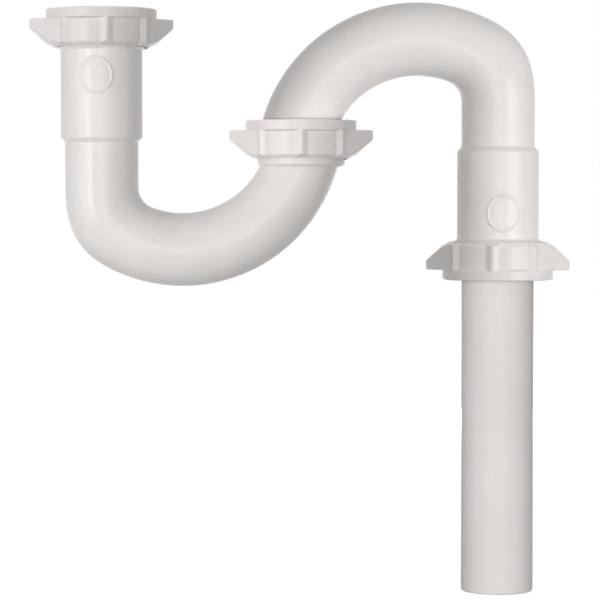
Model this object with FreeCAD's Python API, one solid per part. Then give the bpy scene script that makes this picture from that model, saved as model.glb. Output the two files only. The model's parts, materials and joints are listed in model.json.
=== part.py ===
import FreeCAD
import Part
import math
import os

# S trap for a sink waste: a J bend and a return bend joined by a slip-joint union,
# with a slip joint at the inlet and a plain outlet tube held in a third one.
# Millimetres. Origin on the inlet axis, where the inlet socket's straight bore begins.
# X runs from the inlet to the outlet and Z points up.

# Plain outlet tube, 1-1/2 inch tubular
tube_od = 38.1
tube_wall = 2.0
tube_length = 228.6
tube_end_bevel = 0.6
tube_stop_gap = 1.7  # left between the tube's end and the stop in its socket

# Moulded bends, a little stouter than the tube
bend_oversize = 0.5  # on the tube's diameter
bend_wall = 2.2
elbow_radius = 30.7  # centreline of the tight turn under each leg
elbow_bulge = 2.0  # how much fuller the outer side of that turn is, half way
sweep_inset = 42.75  # leg axis to the centre of the long sweep
leg_rise = 63.6  # middle of the union to a leg's rim
trap_reach = 105.45  # inlet axis to union axis
trap_lean = 16.6  # degrees, where the J bend's sweep meets the union axis
return_reach = 104.1  # union axis to outlet axis
return_lean = 20.8

# Slip-joint sockets
socket_fit = 0.25  # radial clearance of a tube in its socket
socket_wall = 2.2
socket_depth = 57.2  # rim to stop in a leg
bell_below = 2.8  # bell carried on past the stop
bell_taper = 2.5  # height of the step from bell to bend
bell_round = 1.0  # both edges of that step
mouth_bevel = 2.0
thread_wall = 3.3  # socket bore to thread root
rim_bevel = 0.8
collar_step = 0.4  # plain collar over the thread root
collar_bevel = 1.3  # under the union's collar
collar_round = 0.5
leg_collar = 1.7  # plain collar showing under a leg's nut
union_collar = 4.4  # plain collar showing under the union's nut
union_rise = 5.1  # middle of the union to its rim
union_depth = 12.7  # rim to stop in the union
stop_land = 1.1  # below the union's stop, where the sweep meets the axis

# Spigot of the return bend
spigot_wall = 2.15
spigot_stop_gap = 1.0
spigot_end_bevel = 0.6
throat_gap = 0.5  # nut's face to the start of the return bend's lean
throat_depth = 2.0  # straight bore kept past the spigot

# Bevelled slip washers
washer_fit = 0.3  # clearance to the tube and to the socket's bevel
washer_lip = 4.5  # height above the rim
washer_tip = 0.35  # thickness of the bevelled edge
washer_margin = 0.3  # over the thread root
washer_round = 0.3

# Winged slip nuts
nut_height = 20.0
nut_shoulder = 3.2
nut_land = 0.8
nut_hole_gap = 1.65  # over the tube
nut_flare = 1.9  # widening of the hole towards the face
hole_round = 0.4
thread_space = 1.6  # thread root of a socket to thread root of its nut
nut_wall = 3.3
nut_entry_bevel = 1.0
ring_height = 5.2
ring_round = 0.9  # edge at the nut's face
ring_foot_round = 0.5  # where the ring meets the panels
rib_height = 1.7
rib_base = 6.6
rib_top = 1.4
rib_round = 0.5
rib_step = 49.0  # degrees between the ribs of one face
ribs_per_face = 3
wing_reach = 8.7  # past the ring
wing_edge = 4.9  # height of the blunt tip
wing_foot = 2.3  # wing's slope ends this far above the nut's bottom
wing_tip_width = 5.0
wing_root_sink = 0.3  # its sides run off the panels from this far under their skin
wing_round = 1.0  # upright edges of the tip and the edges under it
wing_top_round = 0.7
wing_tip_round = 1.2  # under the tip
wing_foot_step = 0.4  # slope ends this far past the ring
wing_foot_round = 1.5
skirt_bevel = 2.0
skirt_round = 1.0
inlet_nut_turn = 9.5  # degrees about Z, as the nuts are set
union_nut_turn = 0.0
outlet_nut_turn = -9.5

# Radii that follow
tube_r = tube_od / 2
bend_r = (tube_od + bend_oversize) / 2
bend_bore_r = bend_r - bend_wall
socket_r = tube_r + socket_fit
bell_r = socket_r + socket_wall
thread_root_r = socket_r + thread_wall
collar_r = thread_root_r + collar_step
mouth_r = socket_r + mouth_bevel
nut_bore_r = thread_root_r + thread_space
panel_r = nut_bore_r + nut_wall
ring_r = panel_r + rib_height
wing_r = ring_r + wing_reach

# Heights that follow, from the middle of the union
nut_above_rim = washer_lip + nut_shoulder
nut_skirt = nut_height - nut_above_rim  # how far a nut reaches below its rim
trap_cross = union_depth - union_rise + stop_land
return_cross = union_rise + nut_above_rim + throat_gap
origin_rise = leg_rise - mouth_bevel
tool_margin = 1.0  # cutting tools run past the faces that they open

up = FreeCAD.Vector(0, 0, 1)
along = FreeCAD.Vector(1, 0, 0)
across = FreeCAD.Vector(0, 1, 0)


def at(x, z):
    return FreeCAD.Vector(x, 0, z)


def rounded_outline(corners):
    """Closed wire in the XZ plane through (r, z, round) corners, each round an arc tangent to its sides."""
    places = [at(r, z) for r, z, _ in corners]
    edges = []
    last_end = None
    first_start = None
    for i, here in enumerate(places):
        back = (places[i - 1] - here).normalize()
        ahead = (places[(i + 1) % len(places)] - here).normalize()
        radius = corners[i][2]
        half = back.getAngle(ahead) / 2
        start = here + back * (radius / math.tan(half))
        end = here + ahead * (radius / math.tan(half))
        if last_end is not None:
            edges.append(Part.LineSegment(last_end, start).toShape())
        if radius > 0:
            inward = (back + ahead).normalize()
            middle = here + inward * (radius / math.sin(half) - radius)
            edges.append(Part.Arc(start, middle, end).toShape())
        first_start = first_start or start
        last_end = end
    edges.append(Part.LineSegment(last_end, first_start).toShape())
    return Part.Wire(edges)


def turned(corners, x=0.0):
    """Solid of revolution about the vertical line at x, from (r, z, round) corners."""
    solid = Part.Face(rounded_outline(corners)).revolve(at(0, 0), up, 360)
    return solid.translated(at(x, 0))


def disc(radius, centre, normal):
    return Part.Face(Part.Wire(Part.makeCircle(radius, centre, normal)))


def above(z, size=1000.0):
    """Block that takes away all that lies over height z."""
    return Part.makeBox(size, size, size, FreeCAD.Vector(-size / 2, -size / 2, z))


class Course:
    """Centreline of one bend, from its leg on the left to the union axis at x = 0."""

    def __init__(self, reach, lean, cross):
        lean = math.radians(lean)
        self.reach = reach
        self.sweep_radius = (reach - sweep_inset) / math.cos(lean)
        self.sweep_centre = at(sweep_inset - reach, self.sweep_radius * math.sin(lean) - cross)
        # The tight turn lies inside the sweep's circle and touches both it and the leg's axis.
        beside = sweep_inset - elbow_radius
        below = math.sqrt((self.sweep_radius - elbow_radius) ** 2 - beside ** 2)
        self.elbow_centre = self.sweep_centre - at(beside, below)
        self.leg_foot = self.elbow_centre.z
        self.early = math.atan2(beside, below)  # the sweep begins this far before its lowest point
        self.meeting = self.sweep_centre - at(math.sin(self.early), math.cos(self.early)) * self.sweep_radius
        self.onward = at(math.cos(self.early), -math.sin(self.early))

    def sweep(self, radius, top):
        """The long arc, cut level at height top."""
        swing = -90 - math.degrees(self.early)
        arc = disc(radius, self.meeting, self.onward).revolve(self.sweep_centre, across, swing)
        return arc.cut(above(top))

    def elbow(self, radius, spans=8):
        """Loft of ovals round the tight turn, true on its inner side and fuller on its outer side."""
        ovals = []
        for i in range(spans + 1):
            share = i / spans
            turn = (math.pi / 2 - self.early) * share
            outward = at(-math.cos(turn), -math.sin(turn))
            fuller = elbow_bulge / 2 * math.sin(math.pi * share) ** 2
            oval = Part.Ellipse(self.elbow_centre + outward * (elbow_radius + fuller), radius + fuller, radius)
            oval.Axis = outward.cross(across)
            oval.XAxis = outward
            ovals.append(Part.Wire(oval.toShape()))
        return Part.makeLoft(ovals, True, False)

    def leg_skin(self):
        rim = leg_rise
        bell_foot = rim - socket_depth - bell_below
        collar = rim - nut_skirt - leg_collar
        return turned(
            [
                (0, self.leg_foot, 0),
                (bend_r, self.leg_foot, 0),
                (bend_r, bell_foot - bell_taper, bell_round),
                (bell_r, bell_foot, bell_round),
                (bell_r, collar, collar_round),
                (collar_r, collar + collar_r - bell_r, collar_round),
                (collar_r, rim - nut_skirt, 0),
                (thread_root_r, rim - nut_skirt + collar_step, 0),
                (thread_root_r, rim - rim_bevel, 0),
                (thread_root_r - rim_bevel, rim, 0),
                (0, rim, 0),
            ],
            -self.reach,
        )

    def leg_bore(self):
        rim = leg_rise
        stop = rim - socket_depth
        return turned(
            [
                (0, self.leg_foot, 0),
                (bend_bore_r, self.leg_foot, 0),
                (bend_bore_r, stop, 0),
                (socket_r, stop, 0),
                (socket_r, rim - mouth_bevel, 0),
                (mouth_r + tool_margin, rim + tool_margin, 0),
                (0, rim + tool_margin, 0),
            ],
            -self.reach,
        )

    def bend(self, end_skin, end_bore, skin_top, bore_top):
        skin = self.leg_skin().fuse(
            [
                self.elbow(bend_r),
                self.sweep(bend_r, skin_top),
                end_skin,
            ]
        )
        bore = self.leg_bore().fuse(
            [
                self.elbow(bend_bore_r),
                self.sweep(bend_bore_r, bore_top),
                end_bore,
            ]
        )
        return skin.cut(bore).removeSplitter()


def union_socket():
    """Short threaded socket that ends the J bend, and the space inside it."""
    rim = union_rise
    stop = rim - union_depth
    collar = rim - nut_skirt - union_collar
    skin = turned(
        [
            (0, collar, 0),
            (collar_r - collar_bevel, collar, 0),
            (collar_r, collar + collar_bevel, collar_round),
            (collar_r, rim - nut_skirt, 0),
            (thread_root_r, rim - nut_skirt + collar_step, 0),
            (thread_root_r, rim - rim_bevel, 0),
            (thread_root_r - rim_bevel, rim, 0),
            (0, rim, 0),
        ]
    )
    space = turned(
        [
            (0, stop, 0),
            (socket_r, stop, 0),
            (socket_r, rim - mouth_bevel, 0),
            (mouth_r + tool_margin, rim + tool_margin, 0),
            (0, rim + tool_margin, 0),
        ]
    )
    return skin, space


def spigot():
    """Plain end of the return bend, as modelled the same way up as the J bend, and its bore."""
    tip = union_depth - union_rise - spigot_stop_gap
    bore_r = tube_r - spigot_wall
    skin = turned(
        [
            (0, -return_cross - throat_depth, 0),
            (tube_r, -return_cross - throat_depth, 0),
            (tube_r, tip - spigot_end_bevel, 0),
            (tube_r - spigot_end_bevel, tip, 0),
            (0, tip, 0),
        ]
    )
    space = turned(
        [
            (0, -return_cross - throat_depth, 0),
            (bore_r, -return_cross - throat_depth, 0),
            (bore_r, tip + tool_margin, 0),
            (0, tip + tool_margin, 0),
        ]
    )
    return skin, space


def j_bend():
    stop = union_rise - union_depth
    skin, space = union_socket()
    return Course(trap_reach, trap_lean, trap_cross).bend(skin, space, stop - stop_land, stop)


def return_bend():
    """The same kind of bend with a spigot for its socket, turned over about the union."""
    skin, space = spigot()
    course = Course(return_reach, return_lean, return_cross)
    bend = course.bend(skin, space, -return_cross, -return_cross - throat_depth)
    bend.rotate(at(0, 0), across, 180)
    return bend


def washer():
    """Slip washer with its socket rim at z = 0, bevelled edge down."""
    bore = tube_r + washer_fit
    rim_edge = mouth_r - washer_fit * math.sqrt(2) + washer_fit
    tip_r = bore + washer_tip
    tip_z = tip_r - rim_edge + washer_fit
    outer = thread_root_r + washer_margin
    return turned(
        [
            (bore, washer_lip, 0),
            (bore, tip_z, 0),
            (tip_r, tip_z, 0),
            (rim_edge, washer_fit, 0),
            (outer, washer_fit, washer_round),
            (outer, washer_lip, washer_round),
        ]
    )


def nut_envelope():
    """All that a nut and its wings reach, as one turned form with its face at z = 0."""
    return turned(
        [
            (0, 0, 0),
            (ring_r, 0, ring_round),
            (ring_r, -ring_height, 0),
            (wing_r, -ring_height, 0),
            (wing_r, -ring_height - wing_edge, wing_tip_round),
            (ring_r + wing_foot_step, wing_foot - nut_height, wing_foot_round),
            (panel_r - skirt_bevel, -nut_height, 0),
            (0, -nut_height, 0),
        ]
    )


def nut_body():
    hole_r = tube_r + nut_hole_gap
    return turned(
        [
            (hole_r, -nut_shoulder, 0),
            (hole_r, nut_land - nut_shoulder, hole_round),
            (hole_r + nut_flare, 0, hole_round),
            (ring_r, 0, ring_round),
            (ring_r, -ring_height, ring_foot_round),
            (panel_r, -ring_height - rib_height / 2, ring_foot_round),
            (panel_r, skirt_bevel - nut_height, skirt_round),
            (panel_r - skirt_bevel, -nut_height, 0),
            (nut_bore_r + nut_entry_bevel, -nut_height, 0),
            (nut_bore_r, nut_entry_bevel - nut_height, 0),
            (nut_bore_r, -nut_shoulder, 0),
        ]
    )


def plan_prism(corners):
    """Upright prism over the nut's height from (x, y, round) corners."""
    plan = Part.Face(rounded_outline(corners)).rotated(at(0, 0), along, -90)
    return plan.translated(up * -nut_height).extrude(up * nut_height)


def nut_rib():
    root = panel_r - nut_wall / 2
    return plan_prism(
        [
            (root, -rib_base / 2, 0),
            (panel_r, -rib_base / 2, 0),
            (ring_r, -rib_top / 2, rib_round),
            (ring_r, rib_top / 2, rib_round),
            (panel_r, rib_base / 2, 0),
            (root, rib_base / 2, 0),
        ]
    )


def nut_wing():
    """Wing whose sides leave the nut's panels as tangents and close in on a blunt tip."""
    half_tip = wing_tip_width / 2
    tangent_r = panel_r - wing_root_sink
    tangent_turn = math.acos(tangent_r / math.hypot(wing_r, half_tip)) + math.atan2(half_tip, wing_r)
    root_turn = math.radians(90 - rib_step)  # the wedge begins inside the rib next to it
    root_r = tangent_r / math.cos(tangent_turn - root_turn)
    root_x = root_r * math.cos(root_turn)
    root_y = root_r * math.sin(root_turn)
    wedge = plan_prism(
        [
            (root_x, -root_y, 0),
            (wing_r, -half_tip, 0),
            (wing_r + tool_margin, -half_tip, 0),
            (wing_r + tool_margin, half_tip, 0),
            (wing_r, half_tip, 0),
            (root_x, root_y, 0),
        ]
    )
    wedge = wedge.cut(Part.makeCylinder(panel_r - nut_wall / 2, nut_height, at(0, -nut_height)))
    # The envelope's seam is turned to the far side, so that no edge runs down the middle of the wing.
    wing = wedge.common(nut_envelope().rotated(at(0, 0), up, 180))
    tip = [e for e in wing.Edges if e.BoundBox.XMin > ring_r and e.BoundBox.YLength < wing_round]
    upright = [e for e in tip if e.BoundBox.ZLength > wing_edge / 2]
    wing = wing.makeFillet(wing_round, upright)
    level = [e for e in wing.Edges if e.BoundBox.ZMin > -ring_height - wing_top_round / 2]
    outer = [e for e in level if e.BoundBox.ZMax < -ring_height / 2 and e.BoundBox.XMax > (ring_r + wing_r) / 2]
    return wing.makeFillet(wing_top_round, outer)


def winged_nut():
    """Slip nut with its face at z = 0 and its thread below, wings along X."""
    rib = nut_rib()
    wing = nut_wing()
    grips = [wing, wing.rotated(at(0, 0), up, 180)]
    for face in (90, 270):
        for i in range(ribs_per_face):
            turn = face + rib_step * (i - (ribs_per_face - 1) / 2)
            grips.append(rib.rotated(at(0, 0), up, turn).common(nut_envelope()))
    return nut_body().fuse(grips).removeSplitter()


def outlet_tube():
    """Plain tube with its upper end at z = 0."""
    bore_r = tube_r - tube_wall
    return turned(
        [
            (bore_r, 0, 0),
            (tube_r - tube_end_bevel, 0, 0),
            (tube_r, -tube_end_bevel, 0),
            (tube_r, tube_end_bevel - tube_length, 0),
            (tube_r - tube_end_bevel, -tube_length, 0),
            (bore_r, -tube_length, 0),
        ]
    )


def placed(solid, x, z, turn=0.0, over=False):
    """Copy of a piece set at (x, z) from the union's middle, turned about Z, upside down if over."""
    copy = solid.rotated(at(0, 0), across, 180) if over else solid.copy()
    copy = copy.rotated(at(0, 0), up, turn)
    return copy.translated(at(x + trap_reach, z - origin_rise))


def pieces():
    nut = winged_nut()
    seal = washer()
    return {
        "j_bend": placed(j_bend(), 0, 0),
        "return_bend": placed(return_bend(), 0, 0),
        "tailpiece": placed(outlet_tube(), return_reach, socket_depth - leg_rise - tube_stop_gap),
        "inlet_nut": placed(nut, -trap_reach, leg_rise + nut_above_rim, inlet_nut_turn),
        "union_nut": placed(nut, 0, union_rise + nut_above_rim, union_nut_turn),
        "outlet_nut": placed(nut, return_reach, -leg_rise - nut_above_rim, outlet_nut_turn, over=True),
        "inlet_washer": placed(seal, -trap_reach, leg_rise),
        "union_washer": placed(seal, 0, union_rise),
        "outlet_washer": placed(seal, return_reach, -leg_rise, over=True),
    }


os.makedirs("parts", exist_ok=True)
for name, solid in pieces().items():
    solid.exportStep(f"parts/{name}.step")
    print(name, solid.isValid(), len(solid.Solids), round(solid.Volume, 1))
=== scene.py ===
import json
import math

import bmesh
import bpy
import numpy as np
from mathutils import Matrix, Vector

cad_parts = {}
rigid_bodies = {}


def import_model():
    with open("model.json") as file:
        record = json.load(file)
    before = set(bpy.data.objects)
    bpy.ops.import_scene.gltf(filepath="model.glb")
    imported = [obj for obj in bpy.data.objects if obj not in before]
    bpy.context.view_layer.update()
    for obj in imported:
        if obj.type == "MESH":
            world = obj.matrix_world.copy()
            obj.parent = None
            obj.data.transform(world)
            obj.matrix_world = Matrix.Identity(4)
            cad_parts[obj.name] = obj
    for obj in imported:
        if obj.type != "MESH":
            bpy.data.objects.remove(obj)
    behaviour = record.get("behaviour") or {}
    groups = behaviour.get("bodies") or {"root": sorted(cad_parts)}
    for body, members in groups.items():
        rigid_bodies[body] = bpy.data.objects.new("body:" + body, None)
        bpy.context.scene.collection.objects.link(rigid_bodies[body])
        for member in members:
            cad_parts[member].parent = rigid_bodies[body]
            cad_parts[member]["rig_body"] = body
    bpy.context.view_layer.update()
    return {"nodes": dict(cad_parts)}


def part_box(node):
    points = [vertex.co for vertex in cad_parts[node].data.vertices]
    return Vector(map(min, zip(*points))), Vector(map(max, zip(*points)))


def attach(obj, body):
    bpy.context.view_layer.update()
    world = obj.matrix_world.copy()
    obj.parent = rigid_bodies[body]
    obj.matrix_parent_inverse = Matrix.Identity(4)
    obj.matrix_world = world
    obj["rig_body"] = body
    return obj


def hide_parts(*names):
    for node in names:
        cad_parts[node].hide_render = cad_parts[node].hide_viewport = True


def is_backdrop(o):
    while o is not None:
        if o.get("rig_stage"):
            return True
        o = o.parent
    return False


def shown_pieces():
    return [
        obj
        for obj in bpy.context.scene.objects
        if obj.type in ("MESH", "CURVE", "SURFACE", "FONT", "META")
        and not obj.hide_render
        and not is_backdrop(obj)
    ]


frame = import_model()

mm = 0.001
scene = bpy.context.scene
scene.view_settings.view_transform = "Standard"
nodes = frame["nodes"]


class Wire:
    # one shader socket; arithmetic on it adds Math nodes to the same tree
    def __init__(self, tree, socket=None):
        self.tree = tree
        self.socket = socket

    def make(self, kind, settings=None, inputs=None, output=0):
        # any node, from its type, its settings, which are set first, and its sockets' values or links
        node = self.tree.nodes.new(kind)
        for key, value in (settings or {}).items():
            setattr(node, key, value)
        for key, value in (inputs or {}).items():
            if isinstance(value, Wire):
                self.tree.links.new(value.socket, node.inputs[key])
            else:
                node.inputs[key].default_value = value
        return Wire(self.tree, node.outputs[output] if node.outputs else None)

    def outputs(self, *names):
        # named outputs of the node that this socket is on
        return [Wire(self.tree, self.socket.node.outputs[name]) for name in names]

    def maths(self, operation, first, second=0.0):
        return self.make("ShaderNodeMath", {"operation": operation}, {0: first, 1: second})

    def __add__(self, other):
        return self.maths("ADD", self, other)

    def __radd__(self, other):
        return self.maths("ADD", other, self)

    def __sub__(self, other):
        return self.maths("SUBTRACT", self, other)

    def __rsub__(self, other):
        return self.maths("SUBTRACT", other, self)

    def __mul__(self, other):
        return self.maths("MULTIPLY", self, other)

    def __rmul__(self, other):
        return self.maths("MULTIPLY", other, self)

    def __pow__(self, other):
        return self.maths("POWER", self, other)

    def __rpow__(self, other):
        return self.maths("POWER", other, self)

    def __abs__(self):
        return self.maths("ABSOLUTE", self)

    def noise(self, scale, detail, roughness):
        # grey noise about 0.5 on this vector
        return self.make("ShaderNodeTexNoise", {"noise_dimensions": "3D"},
                         {"Vector": self, "Scale": scale, "Detail": detail, "Roughness": roughness})

    def stretched(self, x, y, z):
        # this vector with each axis scaled
        return self.make("ShaderNodeVectorMath", {"operation": "MULTIPLY"}, {0: self, 1: (x, y, z)})

    def between(self, low, high):
        # 0 at low, 1 at high, smooth in the middle
        return self.make("ShaderNodeMapRange", {"interpolation_type": "SMOOTHSTEP", "clamp": True},
                         {"Value": self, "From Min": low, "From Max": high})

    def tint(self, dark, light):
        # colour between two, by this grey
        return self.make("ShaderNodeMix", {"data_type": "RGBA", "blend_type": "MIX"},
                         {"Factor": self, "A": (*dark, 1.0), "B": (*light, 1.0)}, 2)


def newMaterial(name):
    material = bpy.data.materials.new(name)
    material.use_nodes = True
    material.node_tree.nodes.clear()
    return material, Wire(material.node_tree)


def closeMaterial(start, colour, rough, height, depth, fixed):
    # the Principled shader: varying sockets linked, fixed ones set; height counts in shares of depth
    bump = start.make("ShaderNodeBump", None, {"Strength": 1.0, "Distance": depth, "Height": height})
    surface = start.make("ShaderNodeBsdfPrincipled", None,
                         {"Base Color": colour, "Roughness": rough, "Normal": bump, **fixed})
    start.make("ShaderNodeOutputMaterial", None, {"Surface": surface})


# noises as (detail, roughness), and the parts of a noise's range that swing the colour and the gloss
grain = {
    "cloud": (3.0, 0.55), "speckle": (2.0, 0.6), "tubeCloud": (3.0, 0.5), "tubeLines": (3.0, 0.6),
    "cloudShare": 0.7, "tubeCloudShare": 0.55,
    "tintSpan": (0.25, 0.75), "roughSpan": (0.3, 0.7),
}
bendFinish = {
    "dark": (0.735, 0.70, 0.68), "light": (0.80, 0.765, 0.745),
    "rough": 0.31, "roughSwing": 0.09,
    "cloud": 38.0, "speckle": 950.0, "grainDepth": 0.05 * mm,
    "seamDepth": 0.16 * mm, "seamHalf": 0.35 * mm, "seamFade": 0.5 * mm, "seamRun": 2.0 * mm,
    "fixed": {"IOR": 1.46, "Specular IOR Level": 0.45},
}
tubeFinish = {
    "dark": (0.72, 0.69, 0.675), "light": (0.775, 0.745, 0.73),
    "rough": 0.56, "roughSwing": 0.10,
    "draw": 620.0, "drawAlong": 3.0, "cloud": 30.0, "drawDepth": 0.035 * mm,
    "fixed": {"IOR": 1.46, "Specular IOR Level": 0.22},
}
nutFinish = {
    "dark": (0.735, 0.70, 0.68), "light": (0.80, 0.765, 0.745),
    "rough": 0.32, "roughSwing": 0.10,
    "cloud": 60.0, "speckle": 1200.0, "grainDepth": 0.05 * mm,
    "fixed": {"IOR": 1.46, "Specular IOR Level": 0.45},
}
washerFinish = {
    "dark": (0.66, 0.65, 0.60), "light": (0.74, 0.73, 0.68),
    "rough": 0.5, "roughSwing": 0.10,
    "cloud": 90.0, "speckle": 1500.0, "grainDepth": 0.04 * mm,
    "fixed": {"IOR": 1.5, "Specular IOR Level": 0.4, "Subsurface Weight": 0.15,
              "Subsurface Radius": (0.002, 0.0018, 0.0015)},
}


def tintOf(cloud, fine, cloudShare, finish):
    # colour by a mix of a large and a fine noise
    shade = cloud * cloudShare + fine * (1.0 - cloudShare)
    return shade.between(*grain["tintSpan"]).tint(finish["dark"], finish["light"])


def roughOf(grey, finish):
    # roughness that swings about its middle with this noise
    lowest = finish["rough"] - finish["roughSwing"] / 2
    return grey.between(*grain["roughSpan"]) * finish["roughSwing"] + lowest


def mouldedPlastic(name, finish, seam=None):
    # cloudy white, fine moulded grain, and a parting line along y = 0 outside the leg's core
    material, start = newMaterial(name)
    place = start.make("ShaderNodeTexCoord", None, None, "Object")
    cloud = place.noise(finish["cloud"], *grain["cloud"])
    speckle = place.noise(finish["speckle"], *grain["speckle"])
    colour = tintOf(cloud, speckle, grain["cloudShare"], finish)
    rough = roughOf(cloud, finish)
    height = speckle
    if seam:
        parts = start.make("ShaderNodeSeparateXYZ", None, {0: place})
        alongX, acrossY, upZ = parts.outputs("X", "Y", "Z")
        fromAxis = start.maths("SQRT", (alongX - seam["axis"]) ** 2.0 + acrossY ** 2.0)
        outside = fromAxis.between(seam["core"], seam["core"] + finish["seamFade"])
        past = ((upZ - seam["foot"]) * seam["toward"]).between(0.0, finish["seamRun"])
        ridge = 1.0 - abs(acrossY).between(0.0, finish["seamHalf"])
        shown = start.maths("MAXIMUM", outside, past)
        height = speckle + ridge * shown * (finish["seamDepth"] / finish["grainDepth"])
    closeMaterial(start, colour, rough, height, finish["grainDepth"], finish["fixed"])
    return material


def drawnPlastic(name, finish):
    # an extruded tube: fine lines drawn along Z over a faint cloud
    material, start = newMaterial(name)
    place = start.make("ShaderNodeTexCoord", None, None, "Object")
    drawn = place.stretched(1.0, 1.0, finish["drawAlong"] / finish["draw"])
    lines = drawn.noise(finish["draw"], *grain["tubeLines"])
    cloud = place.noise(finish["cloud"], *grain["tubeCloud"])
    colour = tintOf(cloud, lines, grain["tubeCloudShare"], finish)
    closeMaterial(start, colour, roughOf(lines, finish), lines, finish["drawDepth"], finish["fixed"])
    return material


washerLip = 4.5 * mm


def slipJoint(washer, opens):
    # axis in the middle of the washer; the socket's rim lies a lip back from the washer's outer face
    low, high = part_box(washer)
    rim = high.z - washerLip if opens > 0 else low.z + washerLip
    return {"x": (low.x + high.x) / 2, "rim": rim, "opens": opens}


inletJoint = slipJoint("inlet_washer", 1)
unionJoint = slipJoint("union_washer", 1)
outletJoint = slipJoint("outlet_washer", -1)
print("joints at x", [round(joint["x"], 5) for joint in (inletJoint, unionJoint, outletJoint)])

legFoot = 52.15 * mm  # where a leg begins to turn, from the bend's lowest or highest point
legCore = 18.2 * mm  # no parting line nearer to the leg's axis, which is its bore
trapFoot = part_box("j_bend")[0].z + legFoot
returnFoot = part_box("return_bend")[1].z - legFoot
trapSeam = {"axis": inletJoint["x"], "core": legCore, "foot": trapFoot, "toward": -1.0}
returnSeam = {"axis": outletJoint["x"], "core": legCore, "foot": returnFoot, "toward": 1.0}

trapPlastic = mouldedPlastic("trapPlastic", bendFinish, trapSeam)
returnPlastic = mouldedPlastic("returnPlastic", bendFinish, returnSeam)
tubePlastic = drawnPlastic("tubePlastic", tubeFinish)
nutPlastic = mouldedPlastic("nutPlastic", nutFinish)
washerPlastic = mouldedPlastic("washerPlastic", washerFinish)

nodeFinish = {
    "j_bend": trapPlastic, "return_bend": returnPlastic, "tailpiece": tubePlastic,
    "inlet_nut": nutPlastic, "union_nut": nutPlastic, "outlet_nut": nutPlastic,
    "inlet_washer": washerPlastic, "union_washer": washerPlastic, "outlet_washer": washerPlastic,
}
for name, material in nodeFinish.items():
    for slot in nodes[name].material_slots:
        slot.material = material
print("finishes on", len(nodeFinish), "nodes")


meshStyle = {"weld": 1e-7, "sharp": 50.0}  # metres, degrees


def gridFaces(rows, columns):
    # quads between neighbouring rows; columns run round and close on themselves
    row = np.arange(rows - 1)[:, None]
    column = np.arange(columns)[None, :]
    ahead = (column + 1) % columns
    corners = [row * columns + column, row * columns + ahead,
               (row + 1) * columns + ahead, (row + 1) * columns + column]
    return np.stack([np.broadcast_to(c, (rows - 1, columns)) for c in corners], -1).reshape(-1, 4)


def newPiece(name, points, body, material, capped=False, sharp=meshStyle["sharp"]):
    # points is a (rows, columns, 3) grid; capped closes the first and last row with one face each
    rows, columns = points.shape[:2]
    faces = gridFaces(rows, columns).tolist()
    if capped:
        faces.append(list(range(columns)))
        faces.append(list(range((rows - 1) * columns, rows * columns)))
    mesh = bpy.data.meshes.new(name)
    mesh.from_pydata(points.reshape(-1, 3).tolist(), [], faces)
    work = bmesh.new()
    work.from_mesh(mesh)
    bmesh.ops.remove_doubles(work, verts=work.verts, dist=meshStyle["weld"])
    bmesh.ops.recalc_face_normals(work, faces=work.faces)
    work.to_mesh(mesh)
    work.free()
    mesh.polygons.foreach_set("use_smooth", np.ones(len(mesh.polygons), bool))
    mesh.set_sharp_from_angle(angle=math.radians(sharp))
    mesh.materials.append(material)
    piece = bpy.data.objects.new(name, mesh)
    scene.collection.objects.link(piece)
    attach(piece, body)
    return piece


# Each bend is one smooth skin: out over the leg's rim, down and round to the union,
# and back through the bore.
bend = {
    "skin": 19.3 * mm, "bore": 17.1 * mm, "bulge": 2.0 * mm, "elbow": 30.7 * mm, "inset": 42.75 * mm,
    "legRise": 63.6 * mm, "unionRise": 5.1 * mm, "sharp": 35.0,
    "around": 128, "elbowRows": 36, "sweepRows": 72, "roundRows": 6,
}
# Corners are (radius, height, round) in millimetres. A leg's heights run from its rim,
# an end's from the union's middle.
legOutside = [
    (21.3, 0, 0), (21.8, 0, 0), (22.6, -0.8, 0), (22.6, -11.9, 0), (23.0, -12.3, 0), (23.0, -12.5, 0.1),
    (21.5, -14.0, 0.5), (21.5, -60.0, 1.0), (19.3, -62.5, 1.0), (19.3, -70.0, 0),
]
legInside = [(17.1, -70.0, 0), (17.1, -57.2, 0), (19.3, -57.2, 0), (19.3, -2.0, 0), (21.3, 0, 0)]
trapEnd = {
    "lean": 16.6, "cross": 8.7 * mm, "skinTop": -11.6 * mm, "boreTop": -7.6 * mm,
    "corners": [(21.7, -11.6, 0), (23.0, -10.3, 0.5), (23.0, -7.2, 0), (22.6, -6.8, 0), (22.6, 4.3, 0),
                (21.8, 5.1, 0), (21.3, 5.1, 0), (19.3, 3.1, 0), (19.3, -7.6, 0)],
}
returnEnd = {
    "lean": 20.8, "cross": 13.3 * mm, "skinTop": -13.3 * mm, "boreTop": -15.3 * mm,
    "corners": [(19.05, -13.3, 0), (19.05, 6.0, 0), (18.45, 6.6, 0), (16.9, 6.6, 0), (16.9, -15.3, 0)],
}
aroundBend = np.linspace(0.0, 2.0 * math.pi, bend["around"], endpoint=False)


def unit(vector):
    return vector / np.linalg.norm(vector)


def roundedLine(corners):
    # open line through the corners, each round an arc tangent to its two sides
    places = np.array([corner[:2] for corner in corners], float)
    share = np.linspace(0.0, 1.0, bend["roundRows"])[:, None]
    line = []
    for i, here in enumerate(places):
        radius = corners[i][2]
        if radius == 0:
            line.append(here[None])
            continue
        back = unit(places[i - 1] - here)
        ahead = unit(places[i + 1] - here)
        half = math.acos(back @ ahead) / 2
        middle = here + unit(back + ahead) * radius / math.sin(half)
        first, last = (here + side * radius / math.tan(half) - middle for side in (back, ahead))
        span = math.pi - 2 * half
        arc = (np.sin((1 - share) * span) * first + np.sin(share * span) * last) / math.sin(span)
        line.append(middle + arc)
    return np.concatenate(line) * mm


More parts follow.
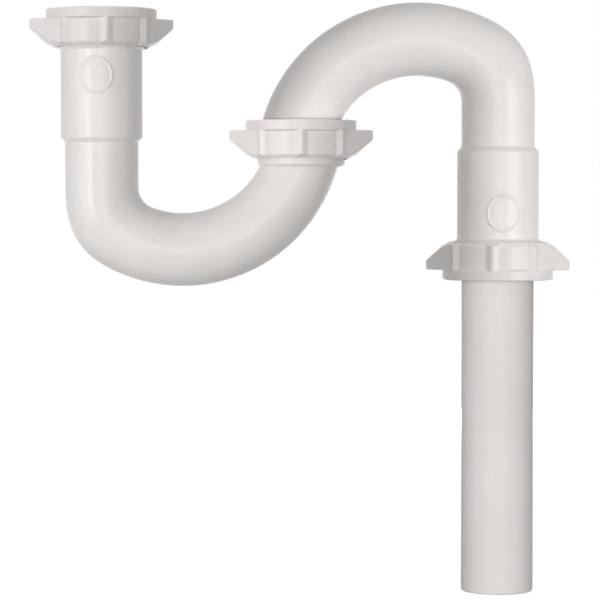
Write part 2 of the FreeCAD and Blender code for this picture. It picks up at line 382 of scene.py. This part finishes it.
def rings(middle, outward, wide, deep):
    # ovals on a line of middles: middle + wide cos(f) outward, and deep sin(f) across
    swing = (wide[:, None] * np.cos(aroundBend))[..., None] * outward[:, None, :]
    place = middle[:, None, :] + swing
    across = np.broadcast_to(deep[:, None] * np.sin(aroundBend), place.shape[:2])
    return np.stack([place[..., 0], across, place[..., 1]], -1)


def turnedRings(corners, axis, rise, side):
    # a line of corners turned about the upright at axis
    line = roundedLine(corners)
    middle = np.stack([np.full(len(line), axis), rise + line[:, 1]], -1)
    outward = np.tile([side, 0.0], (len(line), 1))
    return rings(middle, outward, line[:, 0], line[:, 0])


def elbowRings(middle, swing, radius):
    # the tight turn, fuller on its outer side: g = bulge / 2 sin^2 over the swing,
    # wide = radius + g, middle at elbow + g
    share = np.linspace(0.0, 1.0, bend["elbowRows"])
    outward = -np.stack([np.cos(swing * share), np.sin(swing * share)], -1)
    fuller = bend["bulge"] / 2 * np.sin(math.pi * share) ** 2
    line = middle + (bend["elbow"] + fuller)[:, None] * outward
    return rings(line, outward, radius + fuller, np.full(len(share), radius))


def sweepRings(middle, sweep, early, radius, top):
    # the long arc: each column is a circle of rho = sweep + radius cos f,
    # run from early to where it reaches top
    rho = sweep + radius * np.cos(aroundBend)
    last = np.arccos((middle[1] - top) / rho)
    angle = -early + np.linspace(0.0, 1.0, bend["sweepRows"])[:, None] * (last + early)
    across = np.broadcast_to(radius * np.sin(aroundBend), angle.shape)
    return np.stack([middle[0] + rho * np.sin(angle), across, middle[1] - rho * np.cos(angle)], -1)


def bendSkin(legJoint, end):
    # worked out with the leg on the left and its rim up,
    # then turned half round for a leg that opens downward
    reach = abs(unionJoint["x"] - legJoint["x"])
    lean = math.radians(end["lean"])
    sweep = (reach - bend["inset"]) / math.cos(lean)
    sweepMiddle = np.array([bend["inset"] - reach, sweep * math.sin(lean) - end["cross"]])
    beside = bend["inset"] - bend["elbow"]
    below = math.sqrt((sweep - bend["elbow"]) ** 2 - beside ** 2)
    elbowMiddle = sweepMiddle - (beside, below)
    early = math.atan2(beside, below)
    swing = math.pi / 2 - early
    points = np.concatenate([
        turnedRings(legOutside, -reach, bend["legRise"], -1.0),
        elbowRings(elbowMiddle, swing, bend["skin"]),
        sweepRings(sweepMiddle, sweep, early, bend["skin"], end["skinTop"]),
        turnedRings(end["corners"], 0.0, 0.0, 1.0),
        sweepRings(sweepMiddle, sweep, early, bend["bore"], end["boreTop"])[::-1],
        elbowRings(elbowMiddle, swing, bend["bore"])[::-1],
        turnedRings(legInside, -reach, bend["legRise"], -1.0),
    ])
    points[..., [0, 2]] *= legJoint["opens"]
    return points + (unionJoint["x"], 0.0, unionJoint["rim"] - bend["unionRise"])


trapSkin = newPiece("trap_skin", bendSkin(inletJoint, trapEnd),
                    "trap", trapPlastic, sharp=bend["sharp"])
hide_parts("j_bend")
returnSkin = newPiece("return_skin", bendSkin(outletJoint, returnEnd),
                      "return", returnPlastic, sharp=bend["sharp"])
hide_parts("return_bend")
print("bends made:", len(trapSkin.data.polygons), "and", len(returnSkin.data.polygons), "faces")


thread = {
    "pitch": 2.2087 * mm, "root": 22.6 * mm, "nutRoot": 24.2 * mm,
    "height": 1.25 * mm, "foot": 1.5 * mm, "crest": 0.45 * mm, "sink": 0.12 * mm,
    "shoulder": 0.9, "shoulderOut": 0.1 * mm, "crestIn": 0.05 * mm,  # the crest's two rounded edges
    "steps": 72, "fade": 0.22,
    "first": 1.15 * mm, "turns": 4.6,  # a socket's first turn below its rim
    "nutTurns": 4.7,
}


def smooth(share):
    share = np.clip(share, 0.0, 1.0)
    return share * share * (3.0 - 2.0 * share)


def threadRidge(joint, below, turns, root, inward):
    # ridge of profile (w, h) carried along a right-hand helix:
    # radius = root +- h * fade(turn), height = start + pitch * turn + w
    half = thread["foot"] / 2
    flank = thread["crest"] / 2 + thread["shoulderOut"]
    flat = thread["crest"] / 2 - thread["crestIn"]
    w = np.array([-half, -half, -flank, -flat, flat, flank, half, half])
    h = np.array([0.0, 0.0, thread["shoulder"], 1.0, 1.0, thread["shoulder"], 0.0, 0.0]) * thread["height"]
    h[[0, -1]] = -thread["sink"]
    turn = np.linspace(0.0, turns, int(turns * thread["steps"]) + 1)[:, None]
    fade = smooth(np.minimum(turn, turns - turn) / thread["fade"])
    lift = np.where(h > 0, h * fade, h)
    radius = root - lift if inward else root + lift
    angle = 2.0 * math.pi * turn
    length = turns * thread["pitch"]
    start = joint["rim"] - below - length if joint["opens"] > 0 else joint["rim"] + below
    x = joint["x"] + radius * np.cos(angle)
    y = radius * np.sin(angle)
    z = start + thread["pitch"] * turn + w
    return np.stack([x, y, z], -1)


def slipThreads(label, joint, socketBody, nutBody, socketPlastic):
    below = thread["first"]
    socketTurns = thread["turns"]
    nutTurns = thread["nutTurns"]
    newPiece(label + "_socket_thread", threadRidge(joint, below, socketTurns, thread["root"], False),
             socketBody, socketPlastic, capped=True)
    # the nut's ridge runs half a pitch from the socket's, so that the two interleave
    nutBelow = below + (socketTurns + 0.5 - nutTurns) * thread["pitch"]
    if joint["opens"] < 0:
        nutBelow = below - thread["pitch"] / 2
    newPiece(label + "_nut_thread", threadRidge(joint, nutBelow, nutTurns, thread["nutRoot"], True),
             nutBody, nutPlastic, capped=True)


slipThreads("inlet", inletJoint, "trap", "inlet_grip", trapPlastic)
slipThreads("union", unionJoint, "trap", "union_grip", trapPlastic)
slipThreads("outlet", outletJoint, "return", "outlet_grip", returnPlastic)
print("threads made")


# plain raised roundels on the two long sockets; heights in millimetres over the socket
roundel = {
    "halfWidth": 9.2 * mm, "halfHeight": 10.2 * mm, "socket": 21.5 * mm, "round": 96,
    "share": [0.0, 0.35, 0.66, 0.71, 0.76, 0.81, 0.85, 0.89, 0.94, 0.975, 1.0, 1.0, 0.5, 0.0],
    "height": [0.30, 0.29, 0.27, 0.22, 0.12, 0.12, 0.30, 0.52, 0.52, 0.36, -0.12, -0.5, -0.5, -0.5],
    "inlet": {"turn": -4.0, "z": -25.6 * mm}, "outlet": {"turn": 4.1, "z": -97.7 * mm},
}


def roundelCap(joint, spot):
    # oval discs of share s laid on the socket's round front:
    # arc = a s cos f, height = b s sin f, radius = socket + h(s)
    share = np.array(roundel["share"])[:, None]
    height = np.array(roundel["height"])[:, None] * mm
    f = np.linspace(0.0, 2.0 * math.pi, roundel["round"], endpoint=False)
    turn = math.radians(spot["turn"]) + roundel["halfWidth"] * share * np.cos(f) / roundel["socket"]
    radius = roundel["socket"] + height
    z = spot["z"] + roundel["halfHeight"] * share * np.sin(f)
    return np.stack([joint["x"] + radius * np.sin(turn), -radius * np.cos(turn), z], -1)


newPiece("inlet_roundel", roundelCap(inletJoint, roundel["inlet"]),
         "trap", trapPlastic)
newPiece("outlet_roundel", roundelCap(outletJoint, roundel["outlet"]),
         "return", returnPlastic)
print("roundels made")


# the floor glows white to the camera, a little less near the part so that it keeps its shadow
floorStyle = {
    "z": -0.352, "half": 4.0, "pale": 0.62,
    "near": 0.74, "far": 1.0, "nearTo": 0.45, "farFrom": 1.4,
}
worldStyle = {"light": 0.33, "white": 1.0}
# the trap's side is lit from the left and the return's from the right, so lamps are flagged by body
trapSide = ("trap", "inlet_seal", "inlet_grip", "union_seal", "union_grip")
returnSide = ("return", "outlet_seal", "outlet_grip")
lamps = {
    "leftStrip": {"at": (-0.64, -0.40, -0.12), "aim": (0.03, 0.0, -0.08), "size": (0.14, 0.44),
                  "watts": 0.8, "bodies": ("trap", "inlet_grip", "union_grip")},
    "leftBox": {"at": (-0.74, -1.05, -0.12), "aim": (0.05, 0.0, -0.08), "size": (0.40, 0.44),
                "watts": 4.5, "bodies": trapSide},
    "rightStrip": {"at": (0.81, -0.46, -0.12), "aim": (0.18, 0.0, -0.08), "size": (0.14, 0.44),
                   "watts": 0.9, "bodies": ("return", "outlet_grip")},
    "rightBox": {"at": (0.93, -1.05, -0.12), "aim": (0.16, 0.0, -0.08), "size": (0.40, 0.44),
                 "watts": 4.1, "bodies": returnSide},
    "tubeBox": {"at": (0.02, -1.20, -0.20), "aim": (0.21, 0.0, -0.21), "size": (0.40, 0.60),
                "watts": 5.9, "bodies": ("outlet_tube",)},
    "frontBox": {"at": (0.105, -2.20, -0.13), "aim": (0.105, 0.0, -0.11), "size": (1.6, 0.42),
                 "watts": 13.5, "gloss": False},
    "frontStrip": {"at": (0.105, -1.95, -0.13), "aim": (0.105, 0.0, -0.11), "size": (1.0, 0.30),
                   "watts": 4.4, "bodies": ("trap", "return", "outlet_tube", "union_grip")},
    "backBox": {"at": (0.105, 1.80, -0.10), "aim": (0.105, 0.0, -0.12), "size": (1.6, 0.42),
                "watts": 19.0, "gloss": False},
    "topBox": {"at": (0.105, 0.0, 1.60), "aim": (0.105, 0.0, 0.0), "size": (0.8, 0.8),
               "watts": 9.0, "bodies": ("inlet_grip", "union_grip", "outlet_grip")},
}


def seenBackground(start):
    # 1 for the rays that should meet the white background
    path = start.make("ShaderNodeLightPath")
    camera, glossy, through = path.outputs("Is Camera Ray", "Is Glossy Ray", "Is Transmission Ray")
    return start.maths("MAXIMUM", start.maths("MAXIMUM", camera, glossy), through)


def makeFloor():
    half = floorStyle["half"]
    z = floorStyle["z"]
    corners = [(-half, -half, z), (half, -half, z), (half, half, z), (-half, half, z)]
    mesh = bpy.data.meshes.new("floor")
    mesh.from_pydata(corners, [], [(0, 1, 2, 3)])
    material, start = newMaterial("paleFloor")
    place = start.make("ShaderNodeTexCoord", None, None, "Object")
    level = place.stretched(1.0, 1.0, 0.0)
    reach = start.make("ShaderNodeVectorMath", {"operation": "LENGTH"}, {0: level}, "Value")
    far = reach.between(floorStyle["nearTo"], floorStyle["farFrom"])
    glow = far * (floorStyle["far"] - floorStyle["near"]) + floorStyle["near"]
    pale = floorStyle["pale"]
    matt = start.make("ShaderNodeBsdfDiffuse", None, {"Color": (pale, pale, pale, 1.0)})
    shine = start.make("ShaderNodeEmission", None,
                       {"Color": (1.0, 1.0, 1.0, 1.0), "Strength": glow * seenBackground(start)})
    both = start.make("ShaderNodeAddShader", None, {0: matt, 1: shine})
    start.make("ShaderNodeOutputMaterial", None, {"Surface": both})
    mesh.materials.append(material)
    floor = bpy.data.objects.new("floor", mesh)
    scene.collection.objects.link(floor)
    floor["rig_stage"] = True


def makeWorld():
    world = bpy.data.worlds.new("studio")
    scene.world = world
    world.use_nodes = True
    world.node_tree.nodes.clear()
    start = Wire(world.node_tree)
    seen = seenBackground(start)
    strength = seen * (worldStyle["white"] - worldStyle["light"]) + worldStyle["light"]
    sky = start.make("ShaderNodeBackground", None, {"Color": (1.0, 1.0, 1.0, 1.0), "Strength": strength})
    start.make("ShaderNodeOutputWorld", None, {"Surface": sky})


def makeLamp(name, style):
    lamp = bpy.data.lights.new(name, "AREA")
    lamp.shape = "RECTANGLE"
    lamp.size, lamp.size_y = style["size"]
    lamp.energy = style["watts"]
    holder = bpy.data.objects.new(name, lamp)
    holder.visible_glossy = style.get("gloss", True)
    holder.location = style["at"]
    facing = Vector(style["aim"]) - Vector(style["at"])
    holder.rotation_euler = facing.to_track_quat("-Z", "Y").to_euler()
    scene.collection.objects.link(holder)
    if "bodies" in style:  # a flagged lamp, which lights these bodies alone
        lit = bpy.data.collections.new(name + "Lit")
        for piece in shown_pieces():
            if piece["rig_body"] in style["bodies"]:
                lit.objects.link(piece)
        holder.light_linking.receiver_collection = lit


makeFloor()
makeWorld()
for name, style in lamps.items():
    makeLamp(name, style)
print("floor, world and", len(lamps), "lamps set")


# the photograph's frame of 600 by 600
photoView = {
    "eye": (0.10482, -1.40, -0.08327), "pitch": 2.476,  # degrees down
    "size": 600.0, "focal": 2642.4,  # pixels
    "sensor": 36.0,
}


def makeCamera():
    camera = bpy.data.cameras.new("photoCamera")
    camera.sensor_width = photoView["sensor"]
    camera.lens = photoView["sensor"] * photoView["focal"] / photoView["size"]
    holder = bpy.data.objects.new("photoCamera", camera)
    holder.location = photoView["eye"]
    holder.rotation_euler = (math.radians(90.0 - photoView["pitch"]), 0.0, 0.0)
    scene.collection.objects.link(holder)
    scene.camera = holder


makeCamera()
print("camera set")
